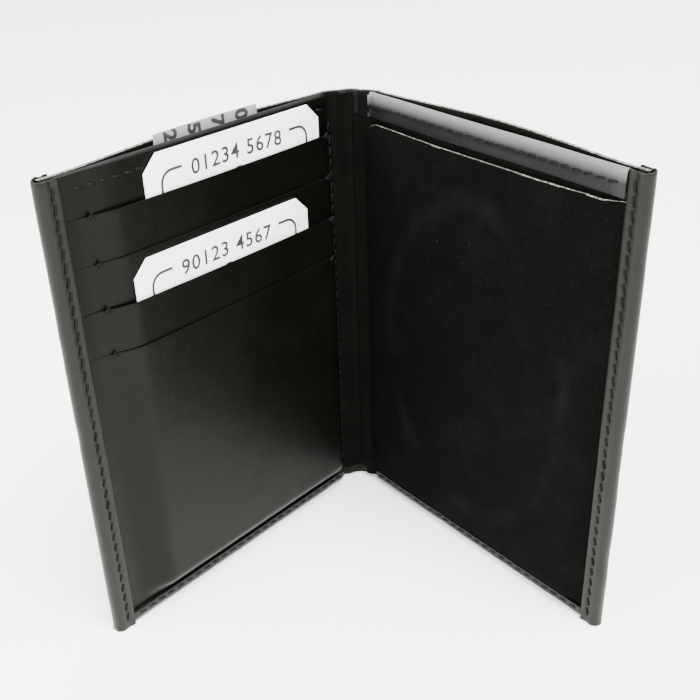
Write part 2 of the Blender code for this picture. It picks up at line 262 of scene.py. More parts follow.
class Finish:
    """A material and the nodes that make its surface."""

    def __init__(self, name):
        self.material = bpy.data.materials.new(name)
        self.material.use_nodes = True
        self.tree = self.material.node_tree
        self.shader = self.tree.nodes["Principled BSDF"]

    def node(self, kind, settings, sockets, output=0):
        made = self.tree.nodes.new(kind)
        for setting, value in settings.items():
            setattr(made, setting, value)
        for name, value in sockets.items():
            self.join(made.inputs[name], value)
        return Strand(self, made.outputs[output])

    def join(self, socket, value):
        if isinstance(value, Strand):
            self.tree.links.new(value.socket, socket)
        elif socket.type == "RGBA" and len(value) == 3:
            socket.default_value = (*value, 1.0)
        else:
            socket.default_value = value

    def set(self, **sockets):
        for name, value in sockets.items():
            self.join(self.shader.inputs[name.replace("_", " ")], value)
        return self.material

    def place(self):
        return self.node("ShaderNodeTexCoord", {}, {}, "Object")

    def layout(self):
        """The flat layout of the sheet, in tenths of a metre."""
        return self.node("ShaderNodeTexCoord", {}, {}, "UV")

    def axes(self, vector):
        """The three parts of a vector."""
        split = self.node("ShaderNodeSeparateXYZ", {}, {0: vector}).socket.node
        return [Strand(self, output) for output in split.outputs]

    def waves(self, value):
        """A sine of the value."""
        return self.node("ShaderNodeMath", {"operation": "SINE"}, {0: value})

    def grain(self, scale, detail=3.0, roughness=0.55, stretch=(1.0, 1.0, 1.0)):
        """Cloudy noise. A stretch below 1 draws it out along that axis."""
        spot = self.node("ShaderNodeMapping", {}, {"Vector": self.place(), "Scale": stretch})
        sockets = {"Vector": spot, "Scale": scale, "Detail": detail, "Roughness": roughness}
        return self.node("ShaderNodeTexNoise", {}, sockets)

    def cells(self, scale, feature="F1"):
        """Pebbles, or the creases between them."""
        sockets = {"Vector": self.place(), "Scale": scale}
        return self.node("ShaderNodeTexVoronoi", {"feature": feature}, sockets)

    def mix(self, share, first, second):
        """The first colour at share 0, the second at 1."""
        return self.node("ShaderNodeMix", {"data_type": "RGBA"}, {0: share, 6: first, 7: second}, 2)

    def bump(self, height, distance, strength=1.0, normal=None):
        sockets = {"Height": height, "Distance": distance, "Strength": strength}
        if normal:
            sockets["Normal"] = normal
        return self.node("ShaderNodeBump", {}, sockets)


def begin(name):
    """A new finish and the wallet's colours."""
    return Finish(name), bpy.context.scene.wallet_colours


def grained_leather():
    """Glossy black leather with a fine pebble grain, duller where it is handled."""
    finish, colours = begin("grained_leather")
    pebbles = finish.cells(1500.0)
    creases = finish.cells(900.0, "DISTANCE_TO_EDGE").between(0.0, 0.12)
    cloud = finish.grain(55.0, 4.0)
    fine = finish.grain(3200.0, 2.0)
    wear = finish.grain(420.0, 4.0, 0.7).between(0.52, 0.72)
    handled = cloud.between(0.35, 0.7) * 0.6 + wear * 0.2
    tone = finish.mix(handled, colours.leather, shade(colours.leather, 1.9))
    relief = creases * 0.55 + pebbles * 0.3 + fine * 0.35
    bump = finish.bump(relief, 0.00006, 0.42)
    waves = finish.bump(finish.grain(140.0, 2.0), 0.0009, 0.16, bump)
    return finish.set(
        Base_Color=tone,
        Roughness=0.27 + cloud * 0.12 + fine * 0.1 + wear * 0.06,
        Specular_IOR_Level=0.075,
        Specular_Tint=(0.97, 1.0, 0.84, 1.0),
        Coat_Weight=0.012,
        Coat_Roughness=0.16,
        Normal=waves,
    )


def dull_leather():
    """The flat black leather of the inner pocket, scuffed by what slides in it."""
    finish, colours = begin("dull_leather")
    cloud = finish.grain(60.0, 4.0)
    pebbles = finish.cells(1500.0)
    scuffs = finish.grain(500.0, 4.0, 0.7, stretch=(1.0, 1.0, 0.2)).between(0.55, 0.75)
    handled = cloud.between(0.3, 0.7) * 0.5 + scuffs * 0.4
    tone = finish.mix(handled, colours.leather, shade(colours.leather, 3.0))
    return finish.set(
        Base_Color=tone,
        Roughness=0.55 + cloud * 0.15,
        Specular_IOR_Level=0.02,
        Normal=finish.bump(pebbles * 0.5 + scuffs * 0.4, 0.00007, 0.5),
    )


def binding_leather():
    """The thinner leather of the rolled strips, stretched and rubbed along its turn."""
    finish, colours = begin("binding_leather")
    cloud = finish.grain(90.0, 4.0)
    pull = finish.grain(900.0, 3.0, 0.6, stretch=(1.0, 1.0, 0.25))
    pores = finish.cells(1900.0)
    rub = finish.grain(300.0, 5.0, 0.7).between(0.5, 0.75)
    handled = cloud.between(0.3, 0.75) * 0.55 + rub * 0.3
    tone = finish.mix(handled, colours.binding, shade(colours.binding, 2.4))
    bump = finish.bump(pull * 0.7 + pores * 0.35, 0.00008, 0.5)
    return finish.set(
        Base_Color=tone,
        Roughness=0.36 + cloud * 0.14 + rub * 0.08,
        Specular_IOR_Level=0.16,
        Specular_Tint=(0.98, 1.0, 0.88, 1.0),
        Normal=bump,
    )


def napped_suede():
    """Matte suede with short fibres, pale specks and the rubbed outline of what lies under it."""
    finish, colours = begin("napped_suede")
    low, high = reach("flap_suede", "right")
    centre = (low + high) / 2.0
    across, up = finish.axes(finish.layout())[:2]
    haze = finish.grain(75.0, 5.0, 0.65)
    x = (across - centre.x * UV_SCALE) / (MARK_HALF[0] * UV_SCALE)
    y = (up - (centre.y - 1.0 * MM) * UV_SCALE) / (MARK_HALF[1] * UV_SCALE)
    ring = ((x * x + y * y) ** 0.5 + haze * 0.16 - 1.08).size()
    outline = (1.0 - ring.between(0.0, 0.11)) * finish.grain(60.0, 3.0).between(0.38, 0.68)
    nap = finish.grain(1500.0, 4.0, 0.7, stretch=(1.0, 1.0, 0.55))
    specks = finish.grain(1900.0, 1.0).between(0.735, 0.78) * finish.grain(160.0, 2.0).between(0.45, 0.65)
    dusty = finish.mix(outline * 0.55 + haze.between(0.42, 0.75) * 0.35, colours.suede, colours.rub)
    napped = finish.mix(nap.between(0.45, 0.75) * 0.4, dusty, colours.rub)
    speckled = finish.mix(specks * 0.55, napped, (0.035, 0.034, 0.032))
    return finish.set(
        Base_Color=speckled,
        Roughness=0.93 - outline * 0.08,
        Specular_IOR_Level=0.03,
        Normal=finish.bump(nap + haze * 0.3, 0.00016, 0.55),
    )


def cut_edge():
    """The pale, frayed core that shows where leather is cut."""
    finish, colours = begin("cut_edge")
    fibre = finish.grain(1300.0, 5.0, 0.75)
    tone = finish.mix(fibre.between(0.42, 0.68), shade(colours.raw_edge, 0.25), shade(colours.raw_edge, 1.5))
    return finish.set(
        Base_Color=tone, Roughness=0.9, Specular_IOR_Level=0.2, Normal=finish.bump(fibre, 0.0003, 0.8)
    )


def woven_lining():
    """Grey lining, woven fine, with painted shade in the spine that is darkest in streaks along its creases.
    """
    finish, colours = begin("woven_lining")
    across, up = finish.axes(finish.layout())[:2]
    cloth = finish.waves(across * 1300.0) * finish.waves(up * 1300.0) * 0.5 + 0.5
    cloud = finish.grain(70.0, 4.0)
    woven = finish.mix(
        cloud.between(0.3, 0.7) * 0.7 + cloth * 0.25, shade(colours.lining, 0.45), colours.lining
    )
    # Painted shade in the spine: the lining goes dark there, darkest in streaks along its creases.
    creases = finish.grain(1400.0, 2.0, stretch=(1.0, 1.0, 0.04)).between(0.52, 0.68)
    painted_spine_shade = finish.mix(creases, shade(colours.lining, 0.05), shade(colours.lining, 0.5))
    outside = LINING_HALF * UV_SCALE
    # Painted shade inside the spine, the woven grey outside it.
    tone = finish.mix(across.size().between(outside + 0.001, outside + 0.005), painted_spine_shade, woven)
    return finish.set(
        Base_Color=tone,
        Roughness=0.38 + cloud * 0.16,
        Specular_IOR_Level=0.08,
        Normal=finish.bump(cloth + finish.grain(500.0) * 0.6, 0.00008, 0.5),
    )


def satin_hem():
    """Satin of the hem, with a painted highlight where it rolls over and painted shade below its stitches."""
    finish, colours = begin("satin_hem")
    cloud = finish.grain(60.0, 4.0)
    weave = finish.grain(1700.0, 2.0, 0.5, stretch=(1.0, 1.0, 0.4))
    crown = (reach("right_bill_liner", "right")[1].y + 0.2 * MM) * UV_SCALE
    up = finish.axes(finish.layout())[1]
    # Painted highlight: a pale band over the roll, rising just below its crown and fading down the front.
    rise = up.between(crown - 0.010, crown + 0.002)
    highlight_falloff = 1.0 - up.between(crown + 0.006, crown + 0.036)
    # Everywhere else the hem is painted shade, a tenth of the lining's grey; the highlight band is four times
    # that grey.
    painted_shade_tone = shade(colours.lining, 0.10)
    tone = finish.mix(rise * highlight_falloff * (0.75 + cloud * 0.4), painted_shade_tone, shade(colours.lining, 4.0))
    return finish.set(
        Base_Color=tone,
        Roughness=0.34 + cloud * 0.12,
        Specular_IOR_Level=0.2,
        Normal=finish.bump(weave + cloud * 0.5, 0.00008, 0.5),
    )


def sewing_thread():
    """Waxed thread, twisted, catching light on its crowns."""
    finish, colours = begin("sewing_thread")
    twist = finish.grain(2600.0, 2.0, 0.5)
    tone = finish.mix(twist.between(0.4, 0.65), colours.thread, shade(colours.thread, 3.2))
    return finish.set(
        Base_Color=tone, Roughness=0.5 + twist * 0.15, Specular_IOR_Level=0.1,
        Normal=finish.bump(twist, 0.0001, 0.6),
    )


def card_stock():
    """White card with a faint tooth and handling marks."""
    finish, colours = begin("card_stock")
    tooth = finish.grain(1800.0, 3.0)
    marks = finish.grain(90.0, 5.0, 0.7)
    tone = finish.mix(marks.between(0.45, 0.8) * 0.5 + tooth * 0.12, colours.card, shade(colours.card, 0.88))
    return finish.set(
        Base_Color=tone, Roughness=0.42 + marks * 0.15, Normal=finish.bump(tooth, 0.00003, 0.3)
    )


def printing_ink():
    """Black print, thinner where the card's tooth shows through."""
    finish, colours = begin("printing_ink")
    tooth = finish.grain(2500.0, 3.0)
    tone = finish.mix(tooth.between(0.55, 0.85) * 0.25, colours.ink, (0.16, 0.16, 0.17))
    return finish.set(Base_Color=tone, Roughness=0.5 + tooth * 0.1)


def printed_paper():
    """Grey printed paper with fine engraved lines."""
    finish, colours = begin("printed_paper")
    across, up = finish.axes(finish.layout())[:2]
    lines = finish.waves((up + across * 0.3) * 1150.0)
    fibre = finish.grain(900.0, 4.0)
    tone = finish.mix(lines.between(0.2, 0.8) * 0.22 + fibre * 0.25, colours.bill, shade(colours.bill, 0.55))
    return finish.set(
        Base_Color=tone, Roughness=0.75, Normal=finish.bump(fibre, 0.00006, 0.4)
    )


def pale_floor():
    """A plain pale sheet under the wallet."""
    finish, colours = begin("pale_floor")
    cloud = finish.grain(3.0, 2.0)
    tone = finish.mix(cloud.between(0.3, 0.7) * 0.3, colours.floor, shade(colours.floor, 0.97))
    return finish.set(Base_Color=tone, Roughness=0.6 + cloud * 0.05, Specular_IOR_Level=0.3)


FINISHES = {
    "leather": (grained_leather, "black_grain_leather"),
    "dull": (dull_leather, "black_grain_leather"),
    "binding": (binding_leather, "black_binding_leather"),
    "suede": (napped_suede, "black_suede"),
    "edge": (cut_edge, "black_suede"),
    "lining": (woven_lining, "grey_lining"),
    "hem": (satin_hem, "grey_lining"),
    "thread": (sewing_thread, "black_thread"),
    "card": (card_stock, "white_card"),
    "ink": (printing_ink, "white_card"),
    "bill": (printed_paper, "bill_paper"),
}


def material_of(finish):
    """The finish's material, made the first time that it is asked for."""
    maker = FINISHES[finish][0]
    return bpy.data.materials.get(maker.__name__) or maker()


# ---------------------------------------------------------------- modelling


def edit_mesh():
    """Starts editing the active piece's mesh."""
    bpy.ops.object.mode_set(mode="EDIT")


def leave_mesh():
    """Ends the editing of a mesh."""
    bpy.ops.object.mode_set(mode="OBJECT")


def choose_all():
    """In edit mode, selects the whole mesh."""
    bpy.ops.mesh.select_all(action="SELECT")


def face_out():
    """In edit mode, turns every face outwards."""
    choose_all()
    bpy.ops.mesh.normals_make_consistent(inside=False)


def raise_up(height):
    """In edit mode, extrudes the flat mesh upwards."""
    choose_all()
    bpy.ops.mesh.extrude_region_move(TRANSFORM_OT_translate={"value": (0.0, 0.0, height)})


def frame_out(width):
    """In edit mode, leaves only a band of this width along the flat mesh's outline."""
    choose_all()
    bpy.ops.mesh.inset(thickness=width)
    bpy.ops.mesh.delete(type="FACE")


def deselect():
    """Leaves edit mode and clears the selection, CAD nodes included."""
    if bpy.context.object and bpy.context.object.mode != "OBJECT":
        leave_mesh()
    bpy.ops.object.select_all(action="DESELECT")


def take(piece):
    """Makes this piece the only selected one."""
    deselect()
    piece.select_set(True)
    bpy.context.view_layer.objects.active = piece


def choose(piece, kind, test):
    """In edit mode, selects just the vertices, edges or faces whose middle passes the test."""
    bpy.ops.mesh.select_mode(type=kind)
    bpy.ops.mesh.select_all(action="DESELECT")
    leave_mesh()
    mesh = piece.data
    parts = {"VERT": mesh.vertices, "EDGE": mesh.edges, "FACE": mesh.polygons}[kind]
    for part in parts:
        if kind == "VERT":
            part.select = test(part.co)
        else:
            part.select = test([mesh.vertices[index].co for index in part.vertices])
    edit_mesh()


def plane(name, low, high):
    """A plane lying on the bench from one corner to the other."""
    deselect()
    bpy.ops.mesh.primitive_plane_add(size=1.0, location=((low.x + high.x) / 2, (low.y + high.y) / 2, low.z))
    piece = bpy.context.object
    piece.name = name
    piece.scale = (high.x - low.x, high.y - low.y, 1.0)
    bpy.ops.object.transform_apply(location=True, rotation=True, scale=True)
    return piece


def cut(places, axis):
    """In edit mode, cuts everything at these places along an axis."""
    facing = [0.0, 0.0, 0.0]
    facing[axis] = 1.0
    for place in places:
        spot = [0.0, 0.0, 0.0]
        spot[axis] = place
        choose_all()
        bpy.ops.mesh.bisect(plane_co=spot, plane_no=facing)


def steps(start, end, step):
    """Even cuts between two ends, neither of them included."""
    count = max(1, round((end - start) / step))
    return [start + (end - start) * index / count for index in range(1, count)]


def sheet(name, low, high, across, up, corners=(), rim=0.32, flush=False):
    """A closed sheet with rounded rims from corner to corner, cut across and up so that it can be shaped.

    corners gives (x, y, size, segments) of corners that are rounded or, with one segment, cut off.
    flush leaves the rim at the low x end square, where the sheet meets its neighbour.
    """
    piece = plane(name, low, high)
    edit_mesh()
    for x, y, size, segments in corners:
        choose(piece, "VERT", lambda co: abs(co.x - x) < 1e-6 and abs(co.y - y) < 1e-6)
        bpy.ops.mesh.bevel(offset=size, segments=segments, affect="VERTICES", clamp_overlap=False)
    thickness = high.z - low.z
    raise_up(thickness)
    face_out()

    def on_rim(ends):
        level = abs(ends[0].z - ends[1].z) < 1e-7
        at_end = abs(ends[0].x - low.x) < 1e-6 and abs(ends[1].x - low.x) < 1e-6
        return level and not (flush and at_end)

    choose(piece, "EDGE", on_rim)
    bpy.ops.mesh.bevel(offset=rim * thickness, segments=2, affect="EDGES")
    cut(across, 0)
    cut(up, 1)
    leave_mesh()
    lay_out(piece)
    return piece


def lay_out(piece):
    """Keeps the sheet's flat layout as its UV map, before it is bent."""
    layout = piece.data.uv_layers.active or piece.data.uv_layers.new(name="UVMap")
    for loop in piece.data.loops:
        co = piece.data.vertices[loop.vertex_index].co
        layout.data[loop.index].uv = (co.x * UV_SCALE, co.y * UV_SCALE)


def shape(piece, *bends):
    """Moves every vertex through each bend in turn."""
    for vertex in piece.data.vertices:
        for bend in bends:
            vertex.co = bend(vertex.co)


def paint(piece, finish):
    """Gives the piece its material."""
    piece.data.materials.clear()
    piece.data.materials.append(material_of(finish))


def stand(piece, side, finish, smooth=45.0):
    """Stands the piece in its leaf, closed side out, and finishes its surface."""
    piece.data.transform(PLACES[side])
    take(piece)
    edit_mesh()
    face_out()
    leave_mesh()
    bpy.ops.object.shade_smooth_by_angle(angle=math.radians(smooth))
    paint(piece, finish)


def second_finish(piece, side, finish, test):
    """Gives the faces that pass the test another finish. The test has the face's normal and bench spot."""
    piece.data.materials.append(material_of(finish))
    back = PLACES[side].inverted()
    for face in piece.data.polygons:
        if test(face.normal, back @ face.center):
            face.material_index = 1


def join(name, pieces):
    """Makes one piece of several."""
    take(pieces[0])
    for piece in pieces:
        piece.select_set(True)
    if len(pieces) > 1:
        bpy.ops.object.join()
    pieces[0].name = name
    return pieces[0]


def numerals(name, row, size, bold, spacing):
    """A row of numerals as a thin mesh, its middle at the origin."""
    deselect()
    bpy.ops.object.text_add()
    text = bpy.context.object.data
    text.body = row
    text.size = size
    text.align_x = "CENTER"
    text.align_y = "CENTER"
    text.extrude = PRINT / 2.0
    text.offset = bold
    text.resolution_u = 3
    text.space_character = spacing
    bpy.ops.object.convert(target="MESH")
    piece = bpy.context.object
    piece.name = name
    return piece


def bend_at_fold(piece):
    """Bakes the piece's place into its mesh; nothing ties it to the leaf or the spine."""
    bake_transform(piece)


def fold_cuts(start, end):
    """Cuts that lie close together where a sheet goes round the fold, and wider beyond."""
    beyond = 5.0 * MM
    return steps(start, beyond, 0.8 * MM) + steps(beyond, end, bpy.context.scene.wallet_sizes.grid)


# ---------------------------------------------------------------- bends


def round_fold(co):
    """Carries a spot before the fold round it, and on along the spine."""
    sizes = bpy.context.scene.wallet_sizes
    radius = sizes.fold_radius
    tangent = radius * math.tan(FOLD_TURN / 2.0)
    if co.x >= tangent:
        return co
    along = tangent - co.x
    angle = min(along / radius, FOLD_TURN)
    past = max(along - radius * FOLD_TURN, 0.0)
    offset = co.z - sizes.spine_rise * ramp(past, -0.001, HALF_SPINE - tangent)
    x = tangent - radius * math.sin(angle) - past * math.cos(FOLD_TURN) + offset * math.sin(angle)
    z = radius - radius * math.cos(angle) + past * math.sin(FOLD_TURN) + offset * math.cos(angle)
    return Vector((x, co.y, z))


def spine_middle():
    """How far before the fold the spine's middle lies, along the leather."""
    radius = bpy.context.scene.wallet_sizes.fold_radius
    tangent = radius * math.tan(FOLD_TURN / 2.0)
    return tangent - radius * FOLD_TURN - (HALF_SPINE - tangent)


def bow_out(co):
    """The cover stands off between its seams, most at the top."""
    bow = bpy.context.scene.wallet_sizes.cover_bow
    start, end = 3.0 * MM, LEAF_WIDTH - 6.5 * MM
    share = (co.x - start) / (end - start)
    if not 0.0 < share < 1.0:
        return co
    height = max(co.y, 0.0) / LEAF_HEIGHT
    return co - Vector((0.0, 0.0, bow * math.sin(math.pi * share) ** 1.4 * height ** 1.3))


def ripple(co, depth, spacing, seed):
    """Soft waves in a sheet."""
    return depth * noise.noise(Vector((co.x / spacing, co.y / spacing, seed)))


SEAM_SHARE = 0.13  # what the seams leave of the layers' depth
STACK_SHARE = 0.62  # what lying close leaves of it elsewhere
STACK_BACK = 1.05 * MM
BACKING_FACE = 1.73 * MM


def press_stack(co):
    """Presses the card leaf's layers together in its seams, and waves them together between."""
    wave = bpy.context.scene.wallet_sizes.wave
    inner = ramp(co.x, 0.4 * MM, 4.8 * MM)
    outer = ramp(co.x, LEAF_WIDTH - 7.4 * MM, LEAF_WIDTH - 17.8 * MM)
    foot = ramp(co.y, *FOOT_SEAM)
    depth = (co.z - STACK_BACK) * STACK_SHARE
    face = BACKING_FACE - STACK_BACK
    if depth > face:
        depth = face + (depth - face) * (SEAM_SHARE + (1.0 - SEAM_SHARE) * inner)
    depth *= SEAM_SHARE + (1.0 - SEAM_SHARE) * outer * foot
    return Vector((co.x, co.y, STACK_BACK + depth + ripple(co, wave, 0.021, 3.0) * inner * outer * foot))


def press_bills(co):
    """Presses the right leaf's layers together in its seams."""
    outer = ramp(co.x, LEAF_WIDTH - 6.0 * MM, LEAF_WIDTH - 12.0 * MM)
    foot = ramp(co.y, *FOOT_SEAM)
    keep = 0.4 + 0.4 * outer * foot
    depth = STACK_BACK + (co.z - STACK_BACK) * keep
    return Vector((co.x, co.y, depth + ripple(co, 0.15 * MM, 0.03, 9.0) * outer * foot))


# ---------------------------------------------------------------- thread


def stitch_rows(name, side, rows, node):
    """Rows of stitches as one piece. A row is (start, end, facing) on the bench."""
    sizes = bpy.context.scene.wallet_sizes
    half = sizes.thread / 2.0
    deselect()
    bpy.ops.mesh.primitive_cube_add(size=1.0)
    stitch = bpy.context.object
    edit_mesh()
    bpy.ops.transform.resize(value=(sizes.stitch * 0.74, half * 2.0, half * 2.0))
    choose(stitch, "EDGE", lambda ends: abs(ends[0].x - ends[1].x) > half)
    bpy.ops.mesh.bevel(offset=half * 0.55, segments=1, affect="EDGES")
    choose(stitch, "FACE", lambda ends: max(e.x for e in ends) - min(e.x for e in ends) < half * 0.1)
    bpy.ops.mesh.bevel(offset=half * 0.7, segments=1, affect="EDGES")
    leave_mesh()
    copies = []
    for row, (start, end, facing) in enumerate(rows):
        run = end - start
        count = max(1, round(run.length / sizes.stitch))
        along = run.normalized()
        normal = Vector(facing).normalized()
        across = normal.cross(along)
        for index in range(count):
            middle = start + run * ((index + 0.5) / count)
            tilt = 0.13 + 0.05 * noise.noise(Vector((index * 0.7, row * 5.0, 1.0)))
            turn = (along + across * tilt).normalized()
            axes = Matrix((turn, normal.cross(turn), normal)).transposed().to_4x4()
            jitter = noise.noise(Vector((index * 1.3, row * 3.0, 4.0)))
            scale = Matrix.Diagonal((1.0 + 0.12 * jitter, 1.0, 1.0, 1.0))
            copy = stitch.copy()
            copy.data = stitch.data.copy()
            copy.data.transform(Matrix.Translation(middle + normal * jitter * 0.05 * MM) @ axes @ scale)
            bpy.context.scene.collection.objects.link(copy)
            copies.append(copy)
    bpy.data.objects.remove(stitch)
    piece = join(name, copies)
    lay_out(piece)
    stand(piece, side, "thread", 60.0)
    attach(piece, side + "_leaf")
    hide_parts(node)


def bartack(name, side, u, height, depth):
    """A small knot of thread that closes the end of a pocket's mouth."""
    sizes = bpy.context.scene.wallet_sizes
    strands = []
    turns = ((0.0, 0.0, 0.0, 1.5), (0.35, 0.25, 1.1, 1.3), (-0.3, -0.2, 2.2, 1.2), (0.1, 0.5, 0.5, 1.0))
    for index, (x, y, angle, long) in enumerate(turns):
        deselect()
        bpy.ops.mesh.primitive_cylinder_add(vertices=8, radius=sizes.thread * 0.42, depth=long * MM)
        strand = bpy.context.object
        edit_mesh()
        choose(strand, "EDGE", lambda ends: abs(ends[0].z - ends[1].z) < 1e-7)
        bpy.ops.mesh.bevel(offset=sizes.thread * 0.16, segments=2, affect="EDGES")
        leave_mesh()
        flat = Matrix.Rotation(math.radians(90.0), 4, "X")
        spin = Matrix.Rotation(angle, 4, "Z")
        spot = Vector((u + x * MM, height + y * MM, depth + index * 0.12 * MM))
        strand.data.transform(Matrix.Translation(spot) @ spin @ flat)
        strands.append(strand)
    piece = join("knot_" + name, strands)
    lay_out(piece)
    stand(piece, side, "thread", 60.0)
    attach(piece, side + "_leaf")
    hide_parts(name)


# ---------------------------------------------------------------- pieces


class WALLET_OT_covers(bpy.types.Operator):
    """Makes both outer covers, which meet in the middle of the spine"""

    bl_idname = "wallet.covers"
    bl_label = "Outer covers"

    def execute(self, context):
        sizes = context.scene.wallet_sizes
        half = sizes.leather / 2.0
        start = spine_middle()
        foot = 0.6 * MM
        for side in ("left", "right"):
            end = reach(side + "_cover", side)[1].x
            across = steps(start, 4.0 * MM, 0.7 * MM) + steps(4.0 * MM, end, sizes.grid)
            cover = sheet(
                side + "_outer_cover",
                Vector((start, foot, -half)),
                Vector((end, LEAF_HEIGHT, half)),
                across,
                steps(foot, LEAF_HEIGHT, sizes.grid),
                rim=0.3,
                flush=True,
            )
            seed = 12.0 if side == "left" else 31.0

            def wave(co):
                quiet = ramp(co.x, 2.0 * MM, 12.0 * MM) * ramp(co.x, end - 4.0 * MM, end - 14.0 * MM)
                swell = noise.noise(co * 32.0 + Vector((0, 0, seed)))
                return co - Vector((0.0, 0.0, 0.35 * MM * quiet * swell))

            shape(cover, wave, bow_out, round_fold)
            stand(cover, side, "leather", 50.0)
            rim = LEAF_HEIGHT - 1.0 * MM
            second_finish(cover, side, "edge", lambda facing, spot: facing.z > 0.8 and spot.y > rim)
            bend_at_fold(cover)
            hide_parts(side + "_cover", "spine_cover")
        return {"FINISHED"}


class WALLET_OT_spine_lining(bpy.types.Operator):
    """Makes the wrinkled grey lining inside the spine"""

    bl_idname = "wallet.spine_lining"
    bl_label = "Spine lining"

    def execute(self, context):
        low, high = reach("spine_lining", "spine")
        half = LINING_HALF
        foot = low.y + 3.0 * MM
        lining = sheet(
            "wrinkled_spine_lining",
            Vector((-half, foot, -0.2 * MM)),
            Vector((half, high.y, 0.2 * MM)),
            steps(-half, half, 0.35 * MM),
            steps(foot, high.y, 4.0 * MM),
        )

        def wrinkle(co):
            rise = context.scene.wallet_sizes.spine_rise * (1.0 - ramp(abs(co.x), 0.0, HALF_SPINE))
            sway = 1.4 * noise.noise(Vector((0.0, co.y * 28.0, 2.0)))
            crease = 0.16 * MM * math.sin(co.x / (0.42 * MM) + sway)
            crease += 0.2 * MM * noise.noise(Vector((co.x * 500.0, co.y * 30.0, 7.0)))
            return co + Vector((0.0, 0.0, 0.98 * MM - rise + crease))

        shape(lining, wrinkle)
        stand(lining, "spine", "lining", 70.0)
        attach(lining, "spine")
        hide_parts("spine_lining")
        return {"FINISHED"}


class WALLET_OT_bindings(bpy.types.Operator):
    """Makes the rolled strips along the outer and lower edges of both leaves"""

    bl_idname = "wallet.bindings"
    bl_label = "Edge bindings"

    def execute(self, context):
        for side in ("left", "right"):
            self.edge(context, side)
            self.foot(context, side)
        return {"FINISHED"}

    def wrap(self, inside, outside, edge, lip):
        """A bend that takes a flat strip round an edge: its first coordinate runs round the turn."""
        radius = (inside - outside) / 2.0
        turn = edge - radius
        straight = turn - lip
        arc = math.pi * radius

        def bend(co):
            depth = co.z
            if co.x < straight:
                return lip + co.x, inside + depth
            if co.x < straight + arc:
                angle = (co.x - straight) / radius
                reach_out = radius + depth
                middle = (inside + outside) / 2.0
                return turn + reach_out * math.sin(angle), middle + reach_out * math.cos(angle)
            return turn - (co.x - straight - arc), outside - depth

        return bend, straight * 2.0 + arc

    def edge(self, context, side):
        sizes = context.scene.wallet_sizes
        low, high = reach(side + "_edge_binding", side)
        bend, long = self.wrap(high.z, low.z, high.x, low.x)
        pitch = sizes.stitch
        row = EDGE_ROW - low.x
        strip = sheet(
            side + "_rolled_edge",
            Vector((0.0, low.y, -sizes.binding)),
            Vector((long, high.y, 0.0)),
            steps(0.0, long, 0.55 * MM),
            steps(low.y, high.y, 0.75 * MM),
            rim=0.3,
        )
        seed = 5.0 if side == "left" else 8.0

        def roll(co):
            pull = dip(co.x, row, 0.55 * MM) + dip(co.x, long - row, 0.55 * MM)
            between = 0.55 + 0.45 * math.cos(2.0 * math.pi * co.y / pitch)
            dent = pull * between * 0.28 * MM
            swell = 0.22 * MM * noise.noise(Vector((co.x * 90.0, co.y * 120.0, seed)))
            middle = LEAF_HEIGHT / 2.0
            worn = ramp(abs(co.y - middle), middle - 2.0 * MM, middle)
            fray = worn * 0.35 * MM * noise.noise(Vector((co.x * 900.0, co.y * 200.0, seed)))
            swell = min(swell, 0.0) + fray
            x, z = bend(Vector((co.x, co.y, co.z - dent + swell)))
            return Vector((x, max(co.y + fray * 1.2, 0.0), z))

        shape(strip, roll)
        stand(strip, side, "binding", 60.0)
        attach(strip, side + "_leaf")
        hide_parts(side + "_edge_binding")

    def foot(self, context, side):
        sizes = context.scene.wallet_sizes
        low, high = reach(side + "_bottom_binding", side)
        bend, long = self.wrap(high.z, low.z, high.y - low.y, 0.0)
        strip = sheet(
            side + "_rolled_foot",
            Vector((0.0, low.x, -sizes.binding)),
            Vector((long, high.x + 0.6 * MM, 0.0)),
            steps(0.0, long, 0.6 * MM),
            steps(low.x, high.x, 0.8 * MM),
            rim=0.3,
        )
        row = high.y - FOOT_ROW
        pitch = sizes.stitch

        def roll(co):
            pull = dip(co.x, row, 0.5 * MM) + dip(co.x, long - row, 0.5 * MM)
            dent = pull * (0.55 + 0.45 * math.cos(2.0 * math.pi * co.y / pitch)) * 0.16 * MM
            swell = min(0.2 * MM * noise.noise(Vector((co.x * 90.0, co.y * 120.0, 15.0))), 0.0)
            y, z = bend(Vector((co.x, co.y, co.z - dent + swell)))
            return Vector((co.y, high.y - y, z))

        shape(strip, roll)
        stand(strip, side, "binding", 60.0)
        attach(strip, side + "_leaf")
        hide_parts(side + "_bottom_binding")


